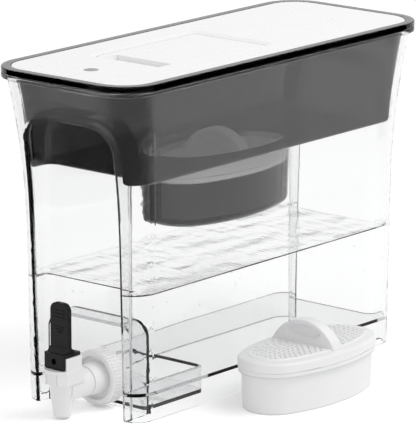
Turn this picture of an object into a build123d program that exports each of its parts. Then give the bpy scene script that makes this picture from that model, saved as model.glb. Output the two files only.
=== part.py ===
from build123d import *
from math import atan2, ceil, cos, degrees, hypot, pi, radians, sin
import os

# Countertop gravity water filter with a tap: a clear tank, a tinted upper reservoir that hangs in
# it, a white lid with a flip-up filling door, one filter cartridge fitted and one standing beside.
# Millimetres, +Z up. The origin is the centre of the tank's footprint on the table.
# The tap is at the -Y end and the long sides face -X and +X.

# ---- margins for tools that cut and forms that join
over = 1.0                   # how far a cutting tool runs past the face it opens
bite = 0.5                   # how far a joined form reaches into its base
far = 40.0                   # how far the niche and cave tools run past the tank
section_spacing = 45.0       # largest height between two outlines of the flared form

# ---- rim, shared by the tank's lip, the reservoir and the lid
rim_length = 400.0
rim_width = 158.0
rim_corner = 35.0

# ---- tank
base_length = 345.0
base_width = 128.4
base_corner = 18.0
end_draft = 0.034            # outward lean of the end walls, per mm of height
side_draft = 0.018
flare_start = 150.0          # height where the walls begin to curve outwards
end_lip = 4.9                # rim beyond the tank's wall at the top
side_lip = 2.7
corner_growth = 12.0
tank_height = 282.4
tank_wall = 2.6
lip_height = 4.0
lip_step = 0.8               # the lip stands this far below the tank's top edge
lip_round = 1.2
base_round = 1.6
floor_height = 22.0          # underside of the tank's floor
floor_thickness = 3.0

# ---- arched niches in both end walls
niche_half_width = 47.0
niche_taper = 1.5            # how much narrower each side is at the back
niche_drop = 35.4            # tank's top down to the top of the niches
niche_corner = 15.0
niche_back_corner = 26.0
niche_depth = 13.5           # behind the end of the base
niche_round = 5.0
mouth_reach = 15.0           # the niche's tool starts this far outside the rim
mouth_round = 3.4            # outer edge of the niches' mouths

# ---- cave for the tap, under the front niche, and the drain well behind it
cave_half_width = 44.0
cave_height = 76.0
cave_corner = 12.0
cave_depth = 19.0
well_half_width = 40.0
well_length = 72.0
well_base = 2.2              # height of the well's underside
well_thickness = 2.8
well_corner = 6.0

# ---- reservoir
reservoir_depth = 82.4       # tank's top down to the underside of the floor
reservoir_wall = 2.9
panel_half_width = 33.0      # shallow bare panel on the front
panel_drop = 20.4            # tank's top down to the panel's lower edge
panel_height = 13.0
panel_depth = 0.6
reservoir_round = 4.0
side_gap = 1.4               # to the tank's wall at the floor
side_gap_growth = 0.8
end_gap = 3.6
end_gap_growth = 4.0
notch_gap = 1.4              # round the tank's niche
notch_setback = 3.4          # further back from the niche's back wall
ring_height = 4.6
ring_width = 8.0
ring_round = 1.0

# ---- sump that holds the cartridge
sump_y = 3.0
sump_depth = 60.0            # below the reservoir's floor
sump_wall = 2.2
sump_draft = 2.0
sump_round = 7.0
sump_mouth = 5.0             # chamfer at the mouth
mouth_slope = 45.0
seat_drop = 22.0             # from the floor's underside down to the cartridge's seat
flange_clearance = 1.6
cup_clearance = 0.9
drain_radius = 4.0
drain_spacing = 72.0
vent_radius = 4.2            # half-round air channel at the front of the sump
vent_wall = 1.6
vent_inset = 1.0             # how far the channel's middle stands outside the pocket

# ---- cartridge
cup_half_length = 71.5       # at the flange
cup_half_width = 35.4
cup_end_radius = 27.5
cup_height = 36.0
cup_draft = 1.5
cup_wall = 1.8
cup_round = 1.5
rim_inset = 0.6              # the cup's flange inside the cap's edge
flange_reach = 3.3           # beyond the cup's wall
flange_thickness = 3.0
gasket_thickness = 1.2
gasket_inset = 0.9
gasket_fit = 0.15
cap_side = 8.8
cap_round = 1.2
cap_top_round = 2.6
band_inset = 8.4             # gently sloped band round the inlets
band_rise = 1.0
crown_height = 0.7
crown_inset = 0.7
cap_plate = 2.4
handle_half_width = 33.0
handle_foot = 2.5            # how far the handle reaches down over the band
handle_height = 20.0
handle_depth = 12.0
handle_round = 1.2
handle_margin = 1.0          # plain cap beside the handle's foot
scoop_half_width = 18.5
scoop_half_height = 6.6
scoop_height = 10.4
scoop_web = 3.0
scoop_slope = 30.0
slot_width = 1.4
slot_length = 3.2
slot_pitch = 4.8
row_pitch = 5.8
first_row = 12.0
field_margin = 1.2
felt_thickness = 3.0
media_clearance = 0.3
outlet_start = 7.0           # first and last reach of the outlet slots from their centre
outlet_end = 17.0
outlet_slots = 10
spare_x = 112.7
spare_y = -11.8

# ---- lid
lid_gap = 0.5
lid_thickness = 2.5
lid_edge = 1.1
skirt_height = 2.0
skirt_wall = 1.8
skirt_clearance = 0.8
door_half_width = 40.0
door_front = -109.0
door_back = 22.0
door_corner = 9.0
door_back_corner = 2.5       # small, so that the open door clears the lid
door_thickness = 2.2
door_gap = 0.5
dish_depth = 1.7
dish_slope = 5.0
ledge_width = 5.0
ledge_thickness = 2.2
frame_wall = 2.4
opening_corner = 3.0
hinge_inset = 3.6            # hinge axis to the door's rear edge
hinge_drop = 2.4             # hinge axis below the door's top
stub_radius = 1.2
stub_length = 2.4
stub_fit = 0.08
ear_half_length = 4.0
ear_wall = 0.6
ear_drop = 0.1               # the sockets' blocks stand this far below the door's top
knuckle_gap = 0.6
door_round = 1.0
scoop_front_margin = 3.0
grip_length = 17.0
grip_half_width = 30.0
grip_depth = 4.5
grip_wall = 1.6
grip_flat = 5.0              # level stretch at the scoop's deep end

# ---- filter-life indicator under the lid
button_setback = 44.4        # front end of the rim to the button's middle
button_radius = 6.0
button_clearance = 0.25
button_flange = 1.5
button_height = 4.0
button_travel = 0.8
button_step = 0.2            # flange below the lid's underside
button_round = 0.5
case_length = 32.0
case_width = 40.0
case_height = 14.0
case_wall = 1.8
case_corner = 4.0
board_height = 1.2
board_clearance = 0.4
switch_size = 6.0
switch_height = 1.6
switch_play = 0.1
switch_corner = 0.5
board_corner = 2.0
cell_radius = 10.0
cell_height = 3.2
cell_round = 0.6
battery_door_radius = 12.2
battery_door_gap = 0.2
coin_slot_length = 14.0
coin_slot_width = 2.0
coin_slot_depth = 0.8
post_radius = 1.8

# ---- tap
washer_inset = 0.4           # washer's rim inside the boss's
washer_fit = 0.2
tap_height = 25.5
boss_radius = 20.0
boss_length = 7.0
boss_wall = 5.0
gasket_length = 1.6
tap_flange_length = 2.4
spigot_clearance = 0.4
nut_radius = 23.9
nut_lip_length = 4.0
nut_lip_reach = 1.6          # how far the lip covers the tap's flange
nut_clearance = 0.4
nut_edge = 1.0
window_edge = 1.0
nut_ribs = 50
rib_width = 1.3
rib_height = 0.8
rib_setback = 1.6
pipe_foot_radius = 14.0      # at the flange
pipe_radius = 12.9
pipe_step = 15.5             # length of the tapered stretch
sleeve_radius = 12.2
pipe_bore = 6.0
valve_reach = 54.0           # tank's wall to the valve's axis
spout_base = 2.2
spout_top_radius = 11.3
spout_tip_radius = 7.3
spout_bore = 4.5
chamber_radius = 8.0
seat_height = 15.0
body_top = 36.0
gland_height = 3.0
gland_fit = 0.1
sleeve_edge = 0.8
bonnet_base = 30.4
bonnet_top = 43.0
bonnet_half_width = 12.8
bonnet_facet = 5.5
bonnet_lip_radius = 15.0
bonnet_lip_height = 3.2
bonnet_lip_round = 1.4
bonnet_groove_spacing = 11.0
bonnet_groove = 0.6
bonnet_clearance = 0.2
cheek_top = 53.5
cheek_wall = 2.8
cheek_half_width = 11.3
cheek_length = 19.0
cheek_gap = 0.9              # cheeks to the lever's front plate
stem_radius = 2.5
stem_clearance = 0.1
stem_top = 53.0
stem_foot = 1.5              # the plug's floor under the stem
stem_edge = 0.5
plug_radius = 6.5
plug_height = 5.3
plug_edge = 1.0
plug_fit = 0.05
pin_height = 50.0
pin_radius = 1.25
pin_half_length = 7.0
pin_fit = 0.05
lever_tilt = 25.0            # forward tilt of the lever, degrees
lever_gap = 0.3
lever_reach = 10.0           # lever's front to the valve's axis
lever_heel = 1.5             # the lever rocks about the centre of its rounded front lower edge
lever_plate = 1.8            # thickness of the front plate that covers the cheeks
lever_core_half_width = 8.0
lever_block_half_width = 11.2
lever_block_depth = 6.5
lever_block_top = 57.0
lever_shelf = 3.0
lever_shelf_length = 20.0
lever_shelf_start = 2.0
lever_round = 1.5
lever_hole_radius = 2.7
lever_hole_depth = 3.0
paddle_half_width = 9.9
paddle_thickness = 4.4
paddle_setback = 6.6
paddle_top = 98.6
paddle_round = 6.5
paddle_edge = 0.8
paddle_flare = 4.0
ridge_radius = 0.8
ridge_pitch = 3.0
ridge_half_width = 5.6
ridge_first = 6.5            # first ridge below the paddle's top
ridge_sink = 0.15
lower_ridges = 20.5          # first of the lower ridges below the paddle's top
lower_pitch = 2.2
lower_half_width = 4.6
lower_step = 1.2             # each lower ridge is this much shorter on each side
fork_inner = 3.4
fork_outer = 7.6
fork_length = 9.5
fork_lift = 1.2              # fork's underside over the lever's lower edge
slot_clearance = 0.45

# ---- heights and places worked out from the above
end_flare = (rim_length - base_length) / 2 - end_draft * tank_height - end_lip
side_flare = (rim_width - base_width) / 2 - side_draft * tank_height - side_lip
niche_height = tank_height - niche_drop
reservoir_floor = tank_height - reservoir_depth
panel_base = tank_height - panel_drop
indicator_y = button_setback - rim_length / 2
floor_top = floor_height + floor_thickness
niche_back = base_length / 2 - niche_depth
cave_back = niche_back - cave_depth
rim_top = tank_height + ring_height
lid_base = rim_top - lid_thickness
door_top = rim_top - dish_depth
door_base = door_top - door_thickness
cap_base = cup_height
cap_top = cap_base + cap_side + band_rise + crown_height
gasket_base = cup_height - flange_thickness - gasket_thickness
seat_level = reservoir_floor - seat_drop
cartridge_z = seat_level - gasket_base
sump_bottom = reservoir_floor - sump_depth
hinge_y = door_back - hinge_inset
hinge_z = door_top - hinge_drop
valve_y = -cave_back - valve_reach
lever_front = valve_y - lever_reach
lever_base = bonnet_top + lever_gap
lever_axis_y = lever_front + lever_heel
lever_axis_z = lever_base + lever_heel


def prism(length, width, corner, bottom, top, centre=(0, 0)):
    """Upright block with rounded corners; length runs along Y."""
    outline = Plane.XY.offset(bottom) * RectangleRounded(width, length, corner)
    return Pos(centre[0], centre[1], 0) * extrude(outline, top - bottom)


def block(x0, x1, y0, y1, z0, z1):
    """Plain block between two corners."""
    centre = ((x0 + x1) / 2, (y0 + y1) / 2, (z0 + z1) / 2)
    return Pos(*centre) * Box(x1 - x0, y1 - y0, z1 - z0)


def upright(radius, bottom, top, x=0.0, y=0.0):
    """Vertical cylinder."""
    return Pos(x, y, (bottom + top) / 2) * Cylinder(radius, top - bottom)


def along_y(radius, start, end, z, x=0.0):
    """Cylinder along Y between two places."""
    return Pos(x, (start + end) / 2, z) * Rot(90, 0, 0) * Cylinder(radius, abs(end - start))


def along_x(radius, start, end, y, z):
    """Cylinder along X between two places."""
    return Pos((start + end) / 2, y, z) * Rot(0, 90, 0) * Cylinder(radius, abs(end - start))


def oval(half_length, half_width, end_radius, z=0.0):
    """Oval of four tangent arcs, long axis along Y."""
    end_centre = half_length - end_radius
    side_radius = (end_centre**2 + half_width**2 - end_radius**2) / (2 * (half_width - end_radius))
    side_centre = side_radius - half_width
    turn = degrees(atan2(end_centre, side_centre))
    right = CenterArc((-side_centre, 0), side_radius, -turn, 2 * turn)
    back = CenterArc((0, end_centre), end_radius, turn, 180 - 2 * turn)
    left = CenterArc((side_centre, 0), side_radius, 180 - turn, 2 * turn)
    front = CenterArc((0, -end_centre), end_radius, 180 + turn, 180 - 2 * turn)
    return Pos(0, 0, z) * make_face([right, back, left, front])


def cup_oval(offset, z=0.0):
    """The cartridge's oval, moved outwards by offset."""
    return oval(cup_half_length + offset, cup_half_width + offset, cup_end_radius + offset, z)


def oval_block(offset, bottom, top, taper=0.0):
    """Solid on the cartridge's oval at its top, drawn in towards its bottom."""
    return extrude(cup_oval(offset, top), -(top - bottom), taper=taper)


# ---- the flared form shared by the tank and the reservoir

def rise(z):
    """Square of the way up the curved part of the wall, 0 at its foot and 1 at the top."""
    return (max(z - flare_start, 0) / (tank_height - flare_start)) ** 2


def wall_outline(z, side_inset, end_inset):
    """Outline of the tank at height z, moved inwards."""
    half_length = base_length / 2 + end_draft * z + end_flare * rise(z) - end_inset
    half_width = base_width / 2 + side_draft * z + side_flare * rise(z) - side_inset
    corner = base_corner + corner_growth * z / tank_height - min(side_inset, end_inset)
    return Plane.XY.offset(z) * RectangleRounded(2 * half_width, 2 * half_length, corner)


def wall_form(bottom, top, side_inset=0.0, end_inset=0.0, side_growth=0.0, end_growth=0.0):
    """Solid inside the tank's outline, with insets that can grow towards the top."""
    steps = max(2, ceil((top - bottom) / section_spacing))
    outlines = []
    for i in range(steps + 1):
        share = i / steps
        z = bottom + (top - bottom) * share
        outlines.append(wall_outline(z, side_inset + side_growth * share, end_inset + end_growth * share))
    return loft(outlines)


def arch(half_width, corner, y, grow):
    """Arch-shaped outline in an upright plane, open below the table."""
    height = niche_height + grow + far
    outline = RectangleRounded(2 * (half_width + grow), height, corner + grow)
    place = Plane(origin=(0, y, niche_height + grow - height / 2), x_dir=(1, 0, 0), z_dir=(0, -1, 0))
    return place * outline


def niche(grow=0.0, setback=0.0):
    """Tool for the front niche, grown on all sides, with its back edges rounded."""
    mouth = arch(niche_half_width, niche_corner, -rim_length / 2 - mouth_reach, grow)
    back = arch(niche_half_width - niche_taper, niche_back_corner, -niche_back + grow + setback, grow)
    tool = loft([mouth, back], ruled=True)
    return fillet(tool.faces().sort_by(Axis.Y)[-1].edges(), niche_round + grow)


def both_ends(tool):
    """A tool for the front end and its copy at the rear."""
    return [tool, Rot(0, 0, 180) * tool]


def mouth_edges(form):
    """The edges round the niches' mouths on a form that they are cut from."""
    edges = form.edges().filter_by(lambda e: abs(e.center().Y) > niche_back + mouth_round)
    inside = edges.filter_by(lambda e: abs(e.center().X) < niche_half_width + tank_wall + over)
    return inside.filter_by(lambda e: over < e.center().Z < niche_height + tank_wall + over)


def cave(grow=0.0):
    """Tool for the tap's cave, open to the front and below."""
    height = cave_height + grow + far
    outline = RectangleRounded(2 * (cave_half_width + grow), height, cave_corner + grow)
    place = Plane(origin=(0, -cave_back + grow, cave_height + grow - height / 2),
                  x_dir=(1, 0, 0), z_dir=(0, -1, 0))
    return extrude(place * outline, niche_depth + cave_depth + far)


# ---- tank

def make_tank():
    """Clear tank: drafted walls, arched end niches, tap cave, raised floor and drain well."""
    outer = wall_form(0, tank_height) - both_ends(niche())
    outer = fillet(mouth_edges(outer), mouth_round)
    outer = fillet(outer.faces().sort_by(Axis.Z)[0].edges(), base_round)
    lip_top = tank_height - lip_step
    lip = prism(rim_length, rim_width, rim_corner, lip_top - lip_height, lip_top)
    lip = fillet(lip.faces().sort_by(Axis.Z)[-1].edges() + lip.faces().sort_by(Axis.Z)[0].edges(), lip_round)
    inside = wall_form(floor_top, tank_height + over, tank_wall, tank_wall)
    room = inside - both_ends(niche(tank_wall)) - cave(tank_wall)
    well_front = -cave_back + tank_wall
    well_back = well_front + well_length
    pocket = block(-well_half_width, well_half_width, well_front, well_back,
                   well_base + well_thickness, floor_top + over)
    pocket = fillet(pocket.edges().filter_by(Axis.Z), well_corner)
    below = wall_form(-over, floor_height, tank_wall, tank_wall)
    below = below - both_ends(niche(tank_wall)) - cave(tank_wall)
    casing = block(-well_half_width - tank_wall, well_half_width + tank_wall, well_front - tank_wall,
                   well_back + tank_wall, well_base, floor_top)
    casing = fillet(casing.edges().filter_by(Axis.Z), well_corner + tank_wall)
    tank = outer + lip - cave()
    tank = tank - room - (below - casing) - pocket
    boss = along_y(boss_radius, -cave_back - boss_length, -cave_back + bite, tap_height)
    bore = along_y(boss_radius - boss_wall, -cave_back - boss_length - over, well_front + over, tap_height)
    return tank + boss - bore


# ---- reservoir

def make_reservoir():
    """Tinted reservoir: flared tray notched round the niches, rim ring and cartridge sump."""
    insets = (tank_wall + side_gap, tank_wall + end_gap, side_gap_growth, end_gap_growth)
    outer = wall_form(reservoir_floor, tank_height, *insets)
    outer = outer - both_ends(niche(tank_wall + notch_gap, notch_setback))
    outer = fillet(outer.faces().sort_by(Axis.Z)[0].edges(), reservoir_round)
    thick = reservoir_wall
    inside = wall_form(reservoir_floor + thick, lid_base + over, insets[0] + thick, insets[1] + thick,
                       side_gap_growth, end_gap_growth)
    inside = inside - both_ends(niche(tank_wall + notch_gap + thick, notch_setback))
    inside = fillet(inside.faces().sort_by(Axis.Z)[0].edges(), reservoir_round - thick)
    panel = block(-panel_half_width, panel_half_width, -rim_length / 2, -niche_back,
                  panel_base, panel_base + panel_height)
    panel -= wall_form(reservoir_floor, tank_height, insets[0] + panel_depth, insets[1] + panel_depth,
                       side_gap_growth, end_gap_growth)
    ring = prism(rim_length, rim_width, rim_corner, tank_height, rim_top)
    ring = fillet(ring.faces().sort_by(Axis.Z)[-1].edges(), ring_round)
    lid_pocket = prism(rim_length - 2 * ring_width, rim_width - 2 * ring_width,
                       rim_corner - ring_width, lid_base, rim_top + over)
    pocket_offset = flange_reach + flange_clearance
    floor_level = reservoir_floor + thick
    sump_top = floor_level - sump_mouth
    shell = oval_block(pocket_offset + sump_wall, sump_bottom, floor_level, sump_draft)
    shell = fillet(shell.faces().sort_by(Axis.Z)[0].edges(), sump_round)
    collar = oval_block(pocket_offset + sump_wall + sump_mouth, sump_top - thick, floor_level - thick,
                        mouth_slope)
    vent_y = -(cup_half_length + pocket_offset + vent_inset)
    vent_out = upright(vent_radius, sump_bottom + sump_round, floor_level, 0, vent_y)
    vent_in = upright(vent_radius - vent_wall, seat_level, floor_level + over, 0, vent_y)
    pocket = oval_block(pocket_offset, seat_level, floor_level + over)
    mouth = oval_block(pocket_offset + sump_mouth + over, sump_top, floor_level + over, mouth_slope)
    well = oval_block(cup_clearance, sump_bottom + sump_wall, seat_level + over, cup_draft)
    drains = [upright(drain_radius, sump_bottom - over, seat_level, 0, side * drain_spacing / 2)
              for side in (-1, 1)]
    place = Pos(0, sump_y, 0)
    solid = outer + ring + place * (shell + collar + vent_out)
    solid = solid - inside - lid_pocket - panel
    return solid - place * (pocket + mouth + well + vent_in) - [place * d for d in drains]


# ---- cartridge, built standing on its own origin

def handle():
    """Arched grip across the cap, hollowed by a finger scoop on each face."""
    arc = ThreePointArc((-handle_half_width, 0), (0, handle_height), (handle_half_width, 0))
    foot = Polyline(arc @ 1, (handle_half_width, -handle_foot), (-handle_half_width, -handle_foot), arc @ 0)
    grip = extrude(Plane.XZ * make_face([arc, foot]), handle_depth / 2, both=True)
    grip = fillet(grip.edges().filter_by(GeomType.CIRCLE), handle_round)
    for side in (-1, 1):
        mouth = Plane.XZ.offset(side * handle_depth / 2) * Pos(0, scoop_height)
        depth = side * (handle_depth - scoop_web) / 2
        grip -= extrude(mouth * Ellipse(scoop_half_width, scoop_half_height), -depth, taper=scoop_slope)
    return Pos(0, 0, cap_top) * grip


def inlet_slots():
    """Radial slots in arcs about the cap's centre, clear of the handle and the crown's edge."""
    edge = flange_reach - band_inset - crown_inset - field_margin - slot_length / 2
    end = cup_half_length + edge
    side = cup_half_width + edge
    slots = []
    radius = first_row
    while radius < end:
        count = int(2 * pi * radius / slot_pitch / 2) * 2
        for i in range(count):
            angle = 2 * pi * (i + 0.5) / count
            x, y = radius * sin(angle), radius * cos(angle)
            clear_of_handle = abs(y) > handle_depth / 2 + slot_length / 2 + handle_margin
            if clear_of_handle and (abs(x) / side) ** 2.5 + (abs(y) / end) ** 2.5 < 1:
                slots.append(Pos(x, y, cap_top) * Rot(0, 0, -degrees(angle))
                             * Box(slot_width, slot_length, 4 * cap_plate))
        radius += row_pitch
    return slots


def make_filter_cap():
    """Cap with a rounded side, a sloped band, a raised field of slotted inlets and the handle."""
    band_base = cap_base + cap_side
    side = oval_block(flange_reach, cap_base, band_base)
    side = fillet(side.faces().sort_by(Axis.Z)[0].edges(), cap_round)
    side = fillet(side.faces().sort_by(Axis.Z)[-1].edges(), cap_top_round)
    band = extrude(cup_oval(flange_reach - cap_top_round, band_base), band_rise,
                   taper=degrees(atan2(band_inset - cap_top_round, band_rise)))
    field = extrude(cup_oval(flange_reach - band_inset, band_base + band_rise), crown_height,
                    taper=degrees(atan2(crown_inset, crown_height)))
    hollow = oval_block(-cup_wall, cap_base - over, cap_top - crown_height - band_rise - cap_plate)
    return side + band + field - hollow + handle() - inlet_slots()


def make_filter_cup():
    """Open cup with a flange at the top and slotted outlets in its floor."""
    cup = oval_block(0, 0, cup_height, cup_draft)
    cup = fillet(cup.faces().sort_by(Axis.Z)[0].edges(), cup_round)
    flange = oval_block(flange_reach - rim_inset, cup_height - flange_thickness, cup_height)
    inside = oval_block(-cup_wall, cup_wall, cup_height + over, cup_draft)
    slots = []
    for side in (-1, 1):
        for i in range(outlet_slots):
            turn = 360 * i / outlet_slots
            arm = Rot(0, 0, turn) * Pos((outlet_start + outlet_end) / 2, 0, 0)
            slot = Box(outlet_end - outlet_start, slot_width, 4 * cup_wall)
            slots.append(Pos(0, side * drain_spacing / 2, 0) * arm * slot)
    return cup + flange - inside - slots


def make_filter_gasket():
    """Silicone ring under the cup's flange."""
    ring = oval_block(flange_reach - gasket_inset, gasket_base, gasket_base + gasket_thickness)
    return ring - oval_block(gasket_fit, gasket_base - over, cup_height)


def filling(bottom, top):
    """What fills the cup between two heights, just clear of its wall."""
    full = oval_block(-cup_wall - media_clearance, cup_wall, cup_height, cup_draft)
    layer = block(-rim_width, rim_width, -rim_length, rim_length, bottom, top)
    return full & layer


def make_cartridge():
    """All pieces of one cartridge by name."""
    felt_top = cup_wall + felt_thickness
    media_top = cup_height - felt_thickness
    return {
        "filter_cap": make_filter_cap(),
        "filter_cup": make_filter_cup(),
        "filter_gasket": make_filter_gasket(),
        "filter_lower_felt": filling(cup_wall, felt_top),
        "filter_media": filling(felt_top, media_top),
        "filter_upper_felt": filling(media_top, cup_height),
    }


# ---- lid, filling door and indicator

def door_outline(grow, z):
    """The filling door's outline, moved outwards by grow."""
    outline = Rectangle(2 * (door_half_width + grow), door_back - door_front + 2 * grow)
    front = outline.vertices().group_by(Axis.Y)[0]
    outline = fillet(front, door_corner + grow)
    back = outline.vertices().group_by(Axis.Y)[-1]
    outline = fillet(back, door_back_corner + grow)
    return Pos(0, (door_back + door_front) / 2, z) * outline


def make_lid():
    """Lid plate with a locating skirt, a dished and framed opening and hinge sockets."""
    length = rim_length - 2 * ring_width - 2 * lid_gap
    width = rim_width - 2 * ring_width - 2 * lid_gap
    plate = prism(length, width, rim_corner - ring_width - lid_gap, lid_base, rim_top)
    plate = fillet(plate.faces().sort_by(Axis.Z)[-1].edges(), lid_edge)
    side = tank_wall + side_gap + side_gap_growth + reservoir_wall + skirt_clearance
    end = tank_wall + end_gap + end_gap_growth + reservoir_wall + skirt_clearance
    skirt_base = lid_base - skirt_height
    skirt = extrude(wall_outline(skirt_base, side, end), skirt_height + bite)
    skirt -= extrude(wall_outline(skirt_base, side + skirt_wall, end + skirt_wall), skirt_height + bite)
    frame_base = door_base - ledge_thickness
    frame_grow = door_gap + frame_wall
    frame = extrude(door_outline(frame_grow, frame_base), lid_base + bite - frame_base)
    dish = loft([door_outline(door_gap, door_top), door_outline(door_gap + dish_slope, rim_top)], ruled=True)
    dish_top = extrude(door_outline(door_gap + dish_slope, rim_top), over)
    pocket = extrude(door_outline(door_gap, door_base), rim_top + over - door_base)
    opening_front = door_front + scoop_front_margin - grip_wall - door_gap
    half = door_half_width - ledge_width
    opening = block(-half, half, opening_front, door_back + door_gap, frame_base - over, door_base + over)
    opening = fillet(opening.edges().filter_by(Axis.Z), opening_corner)
    tail_half = door_half_width + door_gap
    tail = block(-tail_half, tail_half, hinge_y - hinge_drop - knuckle_gap, door_back + door_gap,
                 frame_base - over, hinge_z + stub_radius + ear_wall)
    reach = door_half_width + stub_length + 2 * door_gap
    ear = block(reach - stub_length - door_gap, reach, hinge_y - ear_half_length, hinge_y + ear_half_length,
                frame_base, door_top - ear_drop)
    ears = [ear, mirror(ear, Plane.YZ)]
    socket = along_x(stub_radius + stub_fit, -reach + ear_wall, reach - ear_wall, hinge_y, hinge_z)
    button_hole = upright(button_radius + button_clearance, lid_base - over, rim_top + over, 0, indicator_y)
    lid = plate + skirt + frame - dish - dish_top - pocket - opening - tail + ears
    return lid - socket - button_hole


def make_fill_door():
    """Flip-up door with a finger scoop, a thickened rear edge and two hinge stubs."""
    door = extrude(door_outline(0, door_base), door_thickness)
    door = fillet(door.faces().sort_by(Axis.Z)[-1].edges(), door_round)
    scoop_y0 = door_front + scoop_front_margin
    scoop_y1 = scoop_y0 + grip_length
    bowl = block(-grip_half_width - grip_wall, grip_half_width + grip_wall, scoop_y0 - grip_wall + ear_drop,
                 scoop_y1 + grip_wall, door_top - grip_depth - grip_wall, door_base + bite)
    bowl = fillet(bowl.edges().filter_by(Axis.Z), opening_corner)
    wedge = Polyline((scoop_y0, 0), (scoop_y0, over), (scoop_y1, over), (scoop_y1, -grip_depth),
                     (scoop_y1 - grip_flat, -grip_depth), close=True)
    profile = Plane(origin=(0, 0, door_top), x_dir=(0, 1, 0), z_dir=(1, 0, 0)) * make_face(wedge)
    hollow = extrude(profile, grip_half_width, both=True)
    knuckle_end = door_half_width - door_back_corner
    knuckle = along_x(hinge_drop, -knuckle_end, knuckle_end, hinge_y, hinge_z)
    stub_end = door_half_width + stub_length
    stub = along_x(stub_radius, -stub_end, stub_end, hinge_y, hinge_z)
    return door + bowl - hollow + knuckle + stub


def make_indicator_button():
    """Round grey button, flush with the lid, held by its flange."""
    cap = upright(button_radius, lid_base - button_step, rim_top, 0, indicator_y)
    cap = fillet(cap.faces().sort_by(Axis.Z)[-1].edges(), button_round)
    flange = upright(button_radius + button_flange, rim_top - button_height, lid_base - button_step,
                     0, indicator_y)
    return cap + flange


case_base = lid_base - case_height
board_top = rim_top - button_height - button_travel - switch_height - switch_play
board_base = board_top - board_height


def make_indicator_case():
    """Tray under the lid with four posts for the board and a round battery opening."""
    tray = prism(case_length, case_width, case_corner, case_base, lid_base, (0, indicator_y))
    tray -= prism(case_length - 2 * case_wall, case_width - 2 * case_wall, case_corner - case_wall,
                  case_base + case_wall, lid_base + over, (0, indicator_y))
    tray -= upright(battery_door_radius + battery_door_gap, case_base - over,
                    case_base + case_wall + over, 0, indicator_y)
    inset = case_wall + board_clearance + post_radius
    for x in (-1, 1):
        for y in (-1, 1):
            tray += upright(post_radius, case_base + bite, board_base, x * (case_width / 2 - inset),
                            indicator_y + y * (case_length / 2 - inset))
    return tray


def make_indicator_board():
    """Circuit board with the switch under the button."""
    inset = 2 * (case_wall + board_clearance)
    place = (0, indicator_y)
    board = prism(case_length - inset, case_width - inset, board_corner, board_base, board_top, place)
    switch = prism(switch_size, switch_size, switch_corner, board_top, board_top + switch_height, place)
    return board + switch


def make_battery_door():
    """Round cover of the battery opening, with a coin slot."""
    disc = upright(battery_door_radius, case_base, case_base + case_wall, 0, indicator_y)
    slot = Box(coin_slot_length, coin_slot_width, 2 * coin_slot_depth)
    return disc - Pos(0, indicator_y, case_base) * slot


def make_coin_cell():
    """Coin cell lying on the battery cover."""
    base = case_base + case_wall
    can = upright(cell_radius, base, base + cell_height, 0, indicator_y)
    return chamfer(can.faces().sort_by(Axis.Z)[-1].edges(), cell_round)


# ---- tap

wall_face = -cave_back
boss_end = wall_face - boss_length
tap_flange_back = boss_end - gasket_length
tap_flange_front = tap_flange_back - tap_flange_length
nut_front = tap_flange_front - nut_lip_length
nut_bore = boss_radius + nut_clearance
spigot_radius = boss_radius - boss_wall - spigot_clearance


def make_tap_nut():
    """Ribbed union nut that pulls the tap's flange onto the tank's boss."""
    barrel = nut_radius - rib_height
    back = wall_face - nut_clearance
    body = along_y(barrel, nut_front, back, tap_height)
    body = chamfer(body.faces().sort_by(Axis.Y)[0].edges(), nut_edge)
    rib = block(-rib_width / 2, rib_width / 2, nut_front + rib_setback, back, barrel - bite, nut_radius)
    ribs = [Pos(0, 0, tap_height) * Rot(0, 360 * i / nut_ribs, 0) * rib for i in range(nut_ribs)]
    bore = along_y(nut_bore, tap_flange_front, wall_face + over, tap_height)
    reach = boss_radius - nut_lip_reach
    window = along_y(reach, nut_front - over, wall_face, tap_height)
    bevel = Pos(0, nut_front, tap_height) * Rot(90, 0, 0) * Cone(reach, reach + window_edge, 2 * window_edge)
    return body + ribs - bore - window - bevel


def make_tap_gasket():
    """Silicone washer between the boss and the tap's flange."""
    ring = along_y(boss_radius - washer_inset, boss_end, tap_flange_back, tap_height)
    return ring - along_y(spigot_radius + washer_fit, boss_end + over, tap_flange_back - over, tap_height)


def make_tap_body():
    """Flanged pipe, valve chamber and tapered spout in one moulding."""
    spigot = along_y(spigot_radius, wall_face, tap_flange_back, tap_height)
    flange = along_y(boss_radius, tap_flange_back, tap_flange_front, tap_height)
    step_y = tap_flange_front - pipe_step
    pipe = Pos(0, (tap_flange_front + step_y) / 2, tap_height) * Rot(90, 0, 0) * Cone(
        pipe_foot_radius, pipe_radius, pipe_step)
    sleeve = along_y(sleeve_radius, step_y, valve_y, tap_height)
    sleeve = chamfer(sleeve.faces().sort_by(Axis.Y)[-1].edges(), sleeve_edge)
    spout_height = bonnet_base - spout_base
    spout = Pos(0, valve_y, spout_base + spout_height / 2) * Cone(spout_tip_radius, spout_top_radius,
                                                                 spout_height)
    barrel = upright(spout_top_radius, bonnet_base, body_top, 0, valve_y)
    solid = spigot + flange + pipe + sleeve + spout + barrel
    chamber = upright(chamber_radius, seat_height, tap_height + sleeve_radius + over, 0, valve_y)
    outlet = upright(spout_bore, spout_base - over, seat_height + over, 0, valve_y)
    feed = along_y(pipe_bore, wall_face + over, valve_y, tap_height)
    return solid - chamber - outlet - feed


def bonnet_block(reach, bottom, top):
    """Faceted collar block round the valve's axis."""
    collar = block(-reach, reach, valve_y - reach, valve_y + reach, bottom, top)
    front = collar.edges().filter_by(Axis.Z).group_by(Axis.Y)[0]
    collar = chamfer(front, bonnet_facet)
    return collar


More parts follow.
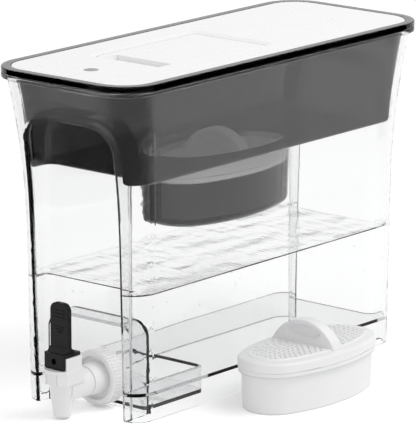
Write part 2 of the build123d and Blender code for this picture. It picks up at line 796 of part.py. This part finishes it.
def make_tap_bonnet():
    """Faceted collar over the chamber, with two cheeks beside the lever."""
    collar = bonnet_block(bonnet_half_width, bonnet_base, bonnet_top)
    lip = upright(bonnet_lip_radius, bonnet_top - bonnet_lip_height, bonnet_top, 0, valve_y)
    lip = fillet(lip.faces().sort_by(Axis.Z)[0].edges(), bonnet_lip_round)
    sides = block(-bonnet_half_width, bonnet_half_width, valve_y - bonnet_lip_radius,
                  valve_y + bonnet_half_width, bonnet_base, bonnet_top)
    collar += lip & sides
    front = valve_y - bonnet_half_width
    for side in (-1, 1):
        groove_x = side * bonnet_groove_spacing / 2
        collar -= block(groove_x - bonnet_groove / 2, groove_x + bonnet_groove / 2, front - over,
                        front + bonnet_groove, bonnet_base - over, bonnet_top - bonnet_lip_height)
    cheek_front = lever_front + lever_plate + cheek_gap
    housing = block(-cheek_half_width, cheek_half_width, cheek_front, cheek_front + cheek_length,
                    bonnet_top - bite, cheek_top)
    inner = cheek_half_width - cheek_wall
    housing -= block(-inner, inner, cheek_front - over, cheek_front + cheek_length - cheek_wall,
                     bonnet_top, cheek_top + over)
    gap = bonnet_clearance
    barrel = upright(spout_top_radius + gap, bonnet_base - over, body_top + gap, 0, valve_y)
    pipe = along_y(sleeve_radius + gap, valve_y, valve_y + 2 * bonnet_half_width, tap_height)
    pipe += block(-sleeve_radius - gap, sleeve_radius + gap, valve_y,
                  valve_y + 2 * bonnet_half_width, 0, tap_height)
    stem_hole = upright(stem_radius + stem_clearance, body_top, bonnet_top + over, 0, valve_y)
    return collar + housing - barrel - pipe - stem_hole


def make_tap_gland():
    """Silicone seal round the stem at the top of the chamber."""
    base = body_top - gland_height
    disc = upright(chamber_radius - gland_fit, base, body_top + gland_fit, 0, valve_y)
    return disc - upright(stem_radius + stem_clearance, base - over, body_top + over, 0, valve_y)


def make_tap_stem():
    """Stem from the plug up to the cross pin."""
    rod = upright(stem_radius, seat_height + stem_foot, stem_top, 0, valve_y)
    rod = chamfer(rod.faces().sort_by(Axis.Z)[-1].edges(), stem_edge)
    return rod - along_x(pin_radius + pin_fit, -pin_half_length, pin_half_length, valve_y, pin_height)


def make_tap_plug():
    """Silicone plug that closes the outlet."""
    top = seat_height + plug_height
    plug = upright(plug_radius, seat_height + plug_fit, top, 0, valve_y)
    plug = chamfer(plug.faces().sort_by(Axis.Z)[-1].edges(), plug_edge)
    return plug - upright(stem_radius + plug_fit, seat_height + stem_foot, top + over, 0, valve_y)


def make_tap_pin():
    """Cross pin through the stem and the lever's fork."""
    return along_x(pin_radius, -pin_half_length, pin_half_length, valve_y, pin_height)


tilt = radians(lever_tilt)
pin_from_axis = (valve_y - lever_axis_y, pin_height - lever_axis_z)
stem_lift = pin_from_axis[0] * sin(tilt)


def pin_in_lever(angle, lift):
    """Where the pin lies in the lever's own frame when the lever is tilted."""
    y, z = pin_from_axis[0], pin_from_axis[1] + lift
    return y * cos(angle) + z * sin(angle), z * cos(angle) - y * sin(angle)


def make_tap_lever():
    """Black lever: front plate and core, shelf over the cheeks, fork round the stem, ridged paddle."""
    y0 = lever_front
    half = lever_block_half_width
    front = block(-half, half, y0, y0 + lever_plate, lever_base, lever_block_top)
    front = fillet(front.edges().filter_by(Axis.Z).group_by(Axis.Y)[0], lever_round)
    front = fillet(front.edges().filter_by(Axis.X).group_by(Axis.Z)[0].sort_by(Axis.Y)[0], lever_heel)
    core_half = lever_core_half_width
    core = block(-core_half, core_half, y0 + lever_heel, y0 + lever_block_depth, lever_base, lever_block_top)
    shelf_base = max(lever_block_top - lever_shelf, cheek_top + 2 * lever_gap)
    shelf = block(-half, half, y0 + lever_shelf_start, y0 + lever_shelf_length, shelf_base, lever_block_top)
    paddle_y = y0 + paddle_setback
    height = paddle_top - lever_block_top + far
    outline = Pos(0, paddle_top - height / 2) * RectangleRounded(2 * paddle_half_width, height, paddle_round)
    place = Plane(origin=(0, paddle_y + paddle_thickness, 0), x_dir=(1, 0, 0), z_dir=(0, -1, 0))
    plate = extrude(place * outline, paddle_thickness)
    plate &= block(-half, half, y0, y0 + lever_shelf_length, lever_block_top - bite, paddle_top + over)
    plate = fillet(plate.faces().sort_by(Axis.Y)[0].edges().sort_by(Axis.Z)[1:], paddle_edge)
    foot = Polyline((paddle_y - paddle_flare, lever_block_top),
                    (paddle_y + paddle_thickness + paddle_flare, lever_block_top),
                    (paddle_y + paddle_thickness, lever_block_top + paddle_flare),
                    (paddle_y, lever_block_top + paddle_flare), close=True)
    flare = extrude(Plane.YZ * make_face(foot), paddle_half_width, both=True)
    rows = [(ridge_half_width, ridge_first + ridge_pitch * i) for i in range(3)]
    rows += [(lower_half_width - lower_step * i, lower_ridges + lower_pitch * i) for i in range(3)]
    ridges = [along_x(ridge_radius, -w, w, paddle_y + ridge_sink, paddle_top - drop) for w, drop in rows]
    fork = [block(s, s + fork_outer - fork_inner, y0 + lever_block_depth - over,
                  y0 + lever_block_depth + fork_length, lever_base + fork_lift, shelf_base + over)
            for s in (-fork_outer, fork_inner)]
    slot_radius = pin_radius + slot_clearance
    start = pin_in_lever(0, 0)
    end = pin_in_lever(tilt, stem_lift)
    middle = ((start[0] + end[0]) / 2, (start[1] + end[1]) / 2)
    span = hypot(end[0] - start[0], end[1] - start[1])
    slope = degrees(atan2(end[1] - start[1], end[0] - start[0]))
    track = Plane(origin=(0, lever_axis_y + middle[0], lever_axis_z + middle[1]),
                  x_dir=(0, 1, 0), z_dir=(1, 0, 0))
    slot = extrude(track * Rot(0, 0, slope) * SlotCenterToCenter(span, 2 * slot_radius), half, both=True)
    dimple = along_y(lever_hole_radius, y0 - over, y0 + lever_hole_depth, (lever_base + lever_block_top) / 2)
    return front + core + shelf + plate + flare + ridges + [f - slot for f in fork] - dimple


def make_tap():
    """All pieces of the tap by name."""
    return {
        "tap_nut": make_tap_nut(),
        "tap_gasket": make_tap_gasket(),
        "tap_body": make_tap_body(),
        "tap_bonnet": make_tap_bonnet(),
        "tap_gland": make_tap_gland(),
        "tap_stem": make_tap_stem(),
        "tap_plug": make_tap_plug(),
        "tap_pin": make_tap_pin(),
        "tap_lever": make_tap_lever(),
    }


# ---- all nodes

nodes = {
    "tank": make_tank(),
    "reservoir": make_reservoir(),
    "lid": make_lid(),
    "fill_door": make_fill_door(),
    "indicator_button": make_indicator_button(),
    "indicator_case": make_indicator_case(),
    "indicator_board": make_indicator_board(),
    "coin_cell": make_coin_cell(),
    "battery_door": make_battery_door(),
}
nodes.update(make_tap())
for name, piece in make_cartridge().items():
    nodes[name] = Pos(0, sump_y, cartridge_z) * piece
    nodes["spare_" + name] = Pos(spare_x, spare_y, 0) * piece

os.makedirs("parts", exist_ok=True)
for name, piece in nodes.items():
    export_step(piece, f"parts/{name}.step")
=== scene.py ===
import math
import random

import bmesh
import bpy
from mathutils import Matrix, Vector, noise


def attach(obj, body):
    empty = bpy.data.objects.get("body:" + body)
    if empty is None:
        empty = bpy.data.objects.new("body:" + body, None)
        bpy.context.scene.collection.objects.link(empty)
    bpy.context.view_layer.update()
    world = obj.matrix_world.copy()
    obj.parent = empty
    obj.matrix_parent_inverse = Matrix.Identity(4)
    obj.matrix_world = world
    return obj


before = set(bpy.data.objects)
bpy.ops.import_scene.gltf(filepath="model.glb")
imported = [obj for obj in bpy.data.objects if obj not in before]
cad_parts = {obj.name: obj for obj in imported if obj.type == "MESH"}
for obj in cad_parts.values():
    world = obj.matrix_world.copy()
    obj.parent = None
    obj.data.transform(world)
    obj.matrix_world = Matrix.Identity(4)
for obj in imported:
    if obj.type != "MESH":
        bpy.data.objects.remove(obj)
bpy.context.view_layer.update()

# Dressing for a countertop gravity water filter. Metres, +Z up, tap at the -Y end.

# ---- materials


def linear(code):
    """An sRGB hex colour as linear RGBA."""
    parts = [int(code[i:i + 2], 16) / 255 for i in (0, 2, 4)]
    parts = [c / 12.92 if c <= 0.04045 else ((c + 0.055) / 1.055) ** 2.4 for c in parts]
    return parts + [1.0]


def add(tree, kind, settings=None, **links):
    """Adds a shader node, sets its values or properties, and links its inputs by name or number."""
    made = tree.nodes.new(kind)
    for key, value in (settings or {}).items():
        if isinstance(key, int) or key in made.inputs:
            made.inputs[key].default_value = value
        else:
            setattr(made, key, value)
    for key, source in links.items():
        name = int(key[1:]) if key[1:].isdigit() else key.replace("_", " ")
        tree.links.new(source, made.inputs[name])
    return made


def start(name, **values):
    """A new node material with its tree and its shader, and constants on the shader's sockets."""
    material = bpy.data.materials.new(name)
    material.use_nodes = True
    tree = material.node_tree
    tree.nodes.clear()
    output = tree.nodes.new("ShaderNodeOutputMaterial")
    shader = tree.nodes.new("ShaderNodeBsdfPrincipled")
    tree.links.new(shader.outputs[0], output.inputs["Surface"])
    for key, value in values.items():
        shader.inputs[key.replace("_", " ")].default_value = value
    return material, tree, shader


def place_at(tree, size_mm):
    """Object coordinates in units of a real size."""
    where = add(tree, "ShaderNodeTexCoord").outputs["Object"]
    scale = 1000 / size_mm
    return add(tree, "ShaderNodeMapping", {"Scale": (scale, scale, scale)}, Vector=where).outputs[0]


def speckle(tree, size_mm, detail):
    """Soft noise with patches of a real size."""
    field = add(tree, "ShaderNodeTexNoise", {"Scale": 1.0, "Detail": detail},
                Vector=place_at(tree, size_mm))
    return field.outputs["Fac"]


def relief(tree, shader, height, depth_mm, strength=1.0, invert=False):
    """Raises the surface by a pattern, to a real depth."""
    bump = add(tree, "ShaderNodeBump",
               {"Strength": strength, "Distance": depth_mm / 1000, "invert": invert}, Height=height)
    tree.links.new(bump.outputs[0], shader.inputs["Normal"])


def grain(tree, shader, size_mm, depth_mm, detail=3.0):
    """Fine relief, as left by a mould or by fibres."""
    relief(tree, shader, speckle(tree, size_mm, detail), depth_mm)


def varied(tree, shader, dark, light, size_mm):
    """Faint colour variation, as in any moulded or pressed piece."""
    mix = add(tree, "ShaderNodeMix", {"data_type": "RGBA", 6: linear(dark), 7: linear(light)},
              Factor=speckle(tree, size_mm, 4.0))
    tree.links.new(mix.outputs[2], shader.inputs["Base Color"])


def rough_patches(tree, shader, low, high, size_mm):
    """Roughness that varies softly, as from handling and cooling."""
    span = add(tree, "ShaderNodeMapRange", {"To Min": low, "To Max": high},
               Value=speckle(tree, size_mm, 2.0))
    tree.links.new(span.outputs[0], shader.inputs["Roughness"])


wall_wave_mm = 60.0             # a moulded clear wall is never quite flat
wall_wave_depth_mm = 0.05
colour_patch_mm = 45.0
gloss_patch_mm = 25.0


def clear_plastic(name, density, tint, gloss, rough):
    """Polished transparent moulding: colour from absorption, so thick edges look darker."""
    material, tree, shader = start(name, Base_Color=linear("ffffff"), Roughness=rough, IOR=1.55,
                                   Transmission_Weight=1.0, Specular_Tint=linear(gloss))
    volume = add(tree, "ShaderNodeVolumeAbsorption", {"Color": linear(tint), "Density": density})
    tree.links.new(volume.outputs[0], tree.nodes["Material Output"].inputs["Volume"])
    relief(tree, shader, speckle(tree, wall_wave_mm, 1.0), wall_wave_depth_mm, strength=0.3)
    return material


def moulded(name, dark, light, low, high, grain_mm=0.6, grain_depth_mm=0.006, ior=1.5, **values):
    """Opaque moulded plastic with faint colour and gloss variation and a fine grain."""
    material, tree, shader = start(name, IOR=ior, **values)
    varied(tree, shader, dark, light, colour_patch_mm)
    rough_patches(tree, shader, low, high, gloss_patch_mm)
    grain(tree, shader, grain_mm, grain_depth_mm)
    return material


# Clear styrene-acrylonitrile, injection moulded in a polished tool: hard gloss, grey thick edges.
san_clear = clear_plastic("styrene_acrylonitrile_clear", 32.0, "8a9094", "787878", rough=0.015)
# The same plastic with a smoke tint: one wall lets about a fifth of the light through.
san_smoke = clear_plastic("styrene_acrylonitrile_smoke", 560.0, "1a1a1c", "404040", rough=0.02)
# ABS moulded in a fine-polished tool: bright white with a soft wide gloss.
abs_white = moulded("abs_white_moulded", "f4f4f4", "f8f8f8", 0.22, 0.32, grain_depth_mm=0.003)
# ABS with a grey pigment, from a duller tool: an even, quiet grey.
abs_grey = moulded("abs_grey_button", "8e8f92", "9a9b9e", 0.35, 0.45)
# Polypropylene, moulded: slightly waxy, with a softer gloss. The tap's tool is a little smoother.
pp_white = moulded("polypropylene_white_moulded", "eeeeef", "f6f6f7", 0.3, 0.42, ior=1.49)
pp_tap = moulded("polypropylene_tap_moulded", "ededed", "f5f5f5", 0.25, 0.38, ior=1.49)
# Glass-filled nylon, moulded black with a fine spark-eroded grain: nearly matt.
nylon_black = moulded("nylon_black_grained", "08080a", "0e0e10", 0.38, 0.52, grain_mm=0.8,
                      grain_depth_mm=0.02, ior=1.45, Specular_IOR_Level=0.3)
# Silicone, compression moulded: milky pale grey and dull.
silicone_white = moulded("silicone_translucent", "d9dadb", "e4e5e6", 0.45, 0.6, ior=1.41)


def fine_metal(name, code, rough):
    """Plated or ground metal with a fine grain, drawn at 0.4 mm so that it shows."""
    material, tree, shader = start(name, Base_Color=linear(code), Metallic=1.0, Roughness=rough)
    grain(tree, shader, 0.4, 0.004)
    return material


# Nickel plate on a deep-drawn can: warm and bright.
nickel_can = fine_metal("nickel_plated_steel", "c2c1bd", 0.22)
# Stainless steel, ground round: a neutral grey with a blurred gloss.
stainless_pin = fine_metal("stainless_steel_ground", "b8b8b9", 0.3)


def fibre_board():
    """Glass-epoxy board under green solder mask, with the weave 0.5 mm apart."""
    material, tree, shader = start("glass_epoxy_board", Roughness=0.35, IOR=1.5)
    varied(tree, shader, "0f4a28", "17603a", 6.0)
    grain(tree, shader, 0.5, 0.01)
    return material


def felt_layer():
    """Needled polyester felt: fibres about 0.02 mm, drawn at 0.5 mm so that they show."""
    material, tree, shader = start("polyester_felt", Roughness=0.95, Sheen_Weight=0.3)
    varied(tree, shader, "d8d7d2", "efeeea", 1.2)
    grain(tree, shader, 0.5, 0.25, detail=6.0)
    return material


def granule_bed():
    """Activated carbon granules with amber resin beads, about 0.9 mm across."""
    material, tree, shader = start("carbon_and_resin_granules", Roughness=0.8)
    cells = add(tree, "ShaderNodeTexVoronoi", {"Scale": 1.0}, Vector=place_at(tree, 0.9))
    pick = add(tree, "ShaderNodeValToRGB", Fac=cells.outputs["Color"])
    carbon, resin = pick.color_ramp.elements
    carbon.color, carbon.position = linear("151514"), 0.55
    resin.color, resin.position = linear("b08a4a"), 0.6
    tree.links.new(pick.outputs[0], shader.inputs["Base Color"])
    relief(tree, shader, cells.outputs["Distance"], 0.5, invert=True)
    return material


polyester_felt = felt_layer()

finish_of = {
    "tank": san_clear,
    "reservoir": san_smoke,
    "lid": abs_white,
    "fill_door": abs_white,
    "indicator_button": abs_grey,
    "indicator_case": abs_white,
    "indicator_board": fibre_board(),
    "coin_cell": nickel_can,
    "battery_door": abs_white,
    "tap_nut": pp_tap,
    "tap_gasket": silicone_white,
    "tap_body": pp_tap,
    "tap_bonnet": pp_tap,
    "tap_gland": silicone_white,
    "tap_stem": pp_tap,
    "tap_plug": silicone_white,
    "tap_pin": stainless_pin,
    "tap_lever": nylon_black,
    "filter_cap": pp_white,
    "filter_cup": pp_white,
    "filter_gasket": silicone_white,
    "filter_lower_felt": polyester_felt,
    "filter_media": granule_bed(),
    "filter_upper_felt": polyester_felt,
}

# the spare cartridge has the same finishes as the fitted one
for name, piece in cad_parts.items():
    piece.data.materials.clear()
    piece.data.materials.append(finish_of[name.removeprefix("spare_")])

# light reaches the pieces inside through the clear and the smoke-tinted walls
for shell in ("tank", "reservoir"):
    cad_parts[shell].visible_shadow = False
    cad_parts[shell].visible_diffuse = False


# ---- water

water_level = 0.1085
water_skin = 0.0008             # thickness of the drawn layer under the surface
plug_reach = 0.01               # of the cutter, above and below the surface
layer_half_width = 0.078        # the uncut layer is a little larger than the tank
layer_half_length = 0.198
# low swells: waves per metre across and along the tank, where the pattern is cut, and height
swells = ((60, 22, 0.0, 0.0004), (150, 60, 3.0, 0.00015))

bubble_count = 110
smallest_bubble = 0.0003        # radius
bubble_spread = 0.0007          # how much larger the largest is
bubble_clearance = 0.001        # below the water's layer
bubble_depth = 0.035            # how far down the deepest cling
bubble_ring_drop = 0.012        # the wall's outline that they follow, below the surface
long_wall_from = 0.05           # the long walls lie further than this from the middle


def water():
    """Still water: clear, its surface stirred by a few low ripples that lie across the tank."""
    material, tree, shader = start("drinking_water_surface", Base_Color=linear("ffffff"),
                                   Roughness=0.0, IOR=1.333, Transmission_Weight=1.0)
    stretch = add(tree, "ShaderNodeMapping",
                  {"Scale": (26.0, 110.0, 26.0), "Rotation": (0, 0, 0.35)},
                  Vector=add(tree, "ShaderNodeTexCoord").outputs["Object"])
    field = add(tree, "ShaderNodeTexNoise", {"Scale": 1.0, "Detail": 3.0, "Distortion": 0.8},
                Vector=stretch.outputs[0])
    relief(tree, shader, field.outputs["Fac"], 1.0, strength=0.25)
    return material


drinking_water = water()


def new_object(name, mesh, finish, body):
    """Makes a bmesh an object that rides on a body."""
    bmesh.ops.recalc_face_normals(mesh, faces=mesh.faces)
    data = bpy.data.meshes.new(name)
    mesh.to_mesh(data)
    mesh.free()
    data.materials.append(finish)
    piece = bpy.data.objects.new(name, data)
    bpy.context.scene.collection.objects.link(piece)
    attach(piece, body)
    return piece


def rear_reach(ring):
    """How far back a ring of vertices goes."""
    return max(vert.co.y for vert in ring)


def tank_section(height):
    """The inner outline of the tank at a height, as a closed ring of edges in a new mesh."""
    cut = bmesh.new()
    cut.from_mesh(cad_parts["tank"].data)
    cut.transform(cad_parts["tank"].matrix_world)
    geometry = cut.verts[:] + cut.edges[:] + cut.faces[:]
    bmesh.ops.bisect_plane(cut, geom=geometry, plane_co=(0, 0, height), plane_no=(0, 0, 1),
                           clear_inner=True, clear_outer=True)
    bmesh.ops.remove_doubles(cut, verts=cut.verts[:], dist=0.00002)
    rings = []
    waiting = set(cut.verts)
    while waiting:
        ring = set()
        front = [waiting.pop()]
        while front:
            vert = front.pop()
            ring.add(vert)
            for edge in vert.link_edges:
                other = edge.other_vert(vert)
                if other in waiting:
                    waiting.discard(other)
                    front.append(other)
        rings.append(ring)
    # the wall's two outlines are the rings that reach the rear end, and the inner one falls short
    inner = min((ring for ring in rings if rear_reach(ring) > 0.1), key=rear_reach)
    outside = [vert for vert in cut.verts if vert not in inner]
    bmesh.ops.delete(cut, geom=outside, context="VERTS")
    return cut


def water_cutter():
    """A plug that fills the tank's section round the water's surface."""
    plug = tank_section(water_level)
    bmesh.ops.triangle_fill(plug, use_beauty=True, edges=plug.edges[:])
    bmesh.ops.translate(plug, verts=plug.verts[:], vec=(0, 0, -plug_reach))
    grown = bmesh.ops.extrude_face_region(plug, geom=plug.faces[:])
    top = [part for part in grown["geom"] if isinstance(part, bmesh.types.BMVert)]
    bmesh.ops.translate(plug, verts=top, vec=(0, 0, 2 * plug_reach))
    bmesh.ops.recalc_face_normals(plug, faces=plug.faces)
    data = bpy.data.meshes.new("water_plug")
    plug.to_mesh(data)
    plug.free()
    cutter = bpy.data.objects.new("water_plug", data)
    bpy.context.scene.collection.objects.link(cutter)
    return cutter


def make_water():
    """Layer of water cut to the tank's section, with low ripples on its top."""
    cutter = water_cutter()
    slab = bmesh.new()
    bmesh.ops.create_grid(slab, x_segments=52, y_segments=132, size=1.0)
    for vert in slab.verts:
        x, y = vert.co.x * layer_half_width, vert.co.y * layer_half_length
        lift = sum(noise.noise(Vector((x * across, y * along, cut_at))) * height
                   for across, along, cut_at, height in swells)
        vert.co = (x, y, water_level + lift)
    grown = bmesh.ops.extrude_face_region(slab, geom=slab.faces[:])
    for part in grown["geom"]:
        if isinstance(part, bmesh.types.BMVert):
            part.co.z = water_level - water_skin
    layer = new_object("water_surface", slab, drinking_water, "dispenser")
    clip = layer.modifiers.new("clip", "BOOLEAN")
    clip.operation = "INTERSECT"
    clip.solver = "EXACT"
    clip.object = cutter
    bpy.context.view_layer.update()
    evaluated = layer.evaluated_get(bpy.context.evaluated_depsgraph_get())
    clipped = bpy.data.meshes.new_from_object(evaluated)
    layer.modifiers.clear()
    layer.data = clipped
    bpy.data.objects.remove(cutter)
    layer.data.shade_smooth()
    layer.visible_shadow = False


def lies_along_tank(edge):
    """Whether an edge of the outline belongs to one of the long walls."""
    first, second = edge.verts
    sideways = abs(first.co.x - second.co.x)
    return sideways < 0.1 * edge.calc_length() and abs(first.co.x) > long_wall_from


def make_bubbles():
    """Small bubbles that cling to the long walls under the water's surface."""
    chance = random.Random(4)
    ring = tank_section(water_level - bubble_ring_drop)
    walls = [edge for edge in ring.edges if lies_along_tank(edge)]
    lengths = [edge.calc_length() for edge in walls]
    mesh = bmesh.new()
    for wall in chance.choices(walls, lengths, k=bubble_count):
        radius = smallest_bubble + bubble_spread * chance.random() ** 2
        spot = wall.verts[0].co.lerp(wall.verts[1].co, chance.random())
        spot.x -= math.copysign(radius, spot.x)
        depth = bubble_depth * chance.random() ** 2.5
        spot.z = water_level - water_skin - bubble_clearance - depth
        bmesh.ops.create_icosphere(mesh, subdivisions=2, radius=radius,
                                   matrix=Matrix.Translation(spot))
    ring.free()
    bubbles = new_object("water_bubbles", mesh, drinking_water, "dispenser")
    bubbles.data.shade_smooth()
    bubbles.visible_shadow = False


make_water()
make_bubbles()


# ---- studio: pale floor, soft light, white surroundings

camera_azimuth = 39.97          # degrees from the tap end
camera_elevation = 13.61

floor_half = 12.0
floor_drop = 0.0002             # keeps the floor from touching the object's lower edges
floor_glow = 0.26               # only where the floor is seen, so that it is white there
world_level = 0.7               # where the surroundings light the object
world_seen = 1.0                # where they are seen

flag_half = 0.3
flag_distance = 0.95
flag_height = 0.3


def seen_directly(tree):
    """1 for rays of the camera, of gloss and of clear pieces, 0 for rays that carry light."""
    path = add(tree, "ShaderNodeLightPath")
    seen = add(tree, "ShaderNodeMath", {"operation": "MAXIMUM"},
               _0=path.outputs["Is Camera Ray"], _1=path.outputs["Is Glossy Ray"])
    seen = add(tree, "ShaderNodeMath", {"operation": "MAXIMUM"},
               _0=seen.outputs[0], _1=path.outputs["Is Transmission Ray"])
    return seen.outputs[0]


def flat_sheet(name, half, finish):
    """A flat square sheet for the studio."""
    mesh = bmesh.new()
    bmesh.ops.create_grid(mesh, x_segments=1, y_segments=1, size=half)
    data = bpy.data.meshes.new(name)
    mesh.to_mesh(data)
    mesh.free()
    data.materials.append(finish)
    sheet = bpy.data.objects.new(name, data)
    bpy.context.scene.collection.objects.link(sheet)
    return sheet


def floor_paper():
    """White background paper, matt."""
    material, tree, shader = start("floor_paper_white", Base_Color=linear("fafafa"), Roughness=0.9,
                                   Specular_IOR_Level=0.0, Emission_Color=linear("ffffff"))
    glow = add(tree, "ShaderNodeMapRange", {"To Min": 0.0, "To Max": floor_glow},
               Value=seen_directly(tree))
    tree.links.new(glow.outputs[0], shader.inputs["Emission Strength"])
    return material


def make_floor():
    """Large pale floor that keeps the object's shadow."""
    floor = flat_sheet("studio_floor", floor_half, floor_paper())
    floor.location = (0, 0, -floor_drop)


def make_world():
    """White surroundings; softer where they light the object than where they are seen."""
    world = bpy.data.worlds.new("studio_white")
    world.use_nodes = True
    tree = world.node_tree
    tree.nodes.clear()
    level = add(tree, "ShaderNodeMapRange", {"To Min": world_level, "To Max": world_seen},
                Value=seen_directly(tree))
    light = add(tree, "ShaderNodeBackground", {"Color": (1, 1, 1, 1)}, Strength=level.outputs[0])
    add(tree, "ShaderNodeOutputWorld", Surface=light.outputs[0])
    bpy.context.scene.world = world


def side_flag(name, side, finish):
    """Black card beside the object, seen only in clear and glossy pieces: it draws their edges."""
    card = flat_sheet(name, flag_half, finish)
    bearing = math.radians(camera_azimuth)
    card.rotation_euler = (0, math.radians(90), bearing)
    card.location = (side * flag_distance * math.cos(bearing),
                     side * flag_distance * math.sin(bearing), flag_height)
    card.visible_camera = False
    card.visible_diffuse = False
    card.visible_shadow = False


def soft_box(name, place, target, size, power):
    """Large soft lamp aimed at a point."""
    lamp = bpy.data.lights.new(name, "AREA")
    lamp.shape = "RECTANGLE"
    lamp.size, lamp.size_y = size
    lamp.energy = power
    holder = bpy.data.objects.new(name, lamp)
    bpy.context.scene.collection.objects.link(holder)
    holder.location = place
    aim = Vector(target) - Vector(place)
    holder.rotation_euler = aim.to_track_quat("-Z", "Y").to_euler()


make_floor()
make_world()
# flocked card, black and dead matt
black_card = start("black_flocked_card", Base_Color=linear("0a0a0a"), Roughness=1.0,
                   Specular_IOR_Level=0.0)[0]
side_flag("flag_right", 1, black_card)
side_flag("flag_left", -1, black_card)
soft_box("key_soft_box", place=(1.1, 0.5, 1.9), target=(0, 0, 0.15), size=(1.5, 1.2), power=15.5)


# ---- camera


def make_camera(place, azimuth, elevation, lens):
    """Long-lens camera turned by its bearing from the tap end and its height angle."""
    data = bpy.data.cameras.new("studio_camera")
    data.lens = lens
    data.sensor_width = 36.0
    data.clip_end = 50.0
    camera = bpy.data.objects.new("studio_camera", data)
    bpy.context.scene.collection.objects.link(camera)
    camera.location = place
    camera.rotation_euler = (math.radians(90 - elevation), 0, math.radians(azimuth))
    bpy.context.scene.camera = camera


make_camera((2.1787, -2.6063, 0.9603), camera_azimuth, camera_elevation, lens=346.4)

bpy.context.scene.view_settings.view_transform = "Standard"
# light crosses many clear walls
bpy.context.scene.cycles.max_bounces = 24
bpy.context.scene.cycles.transmission_bounces = 24
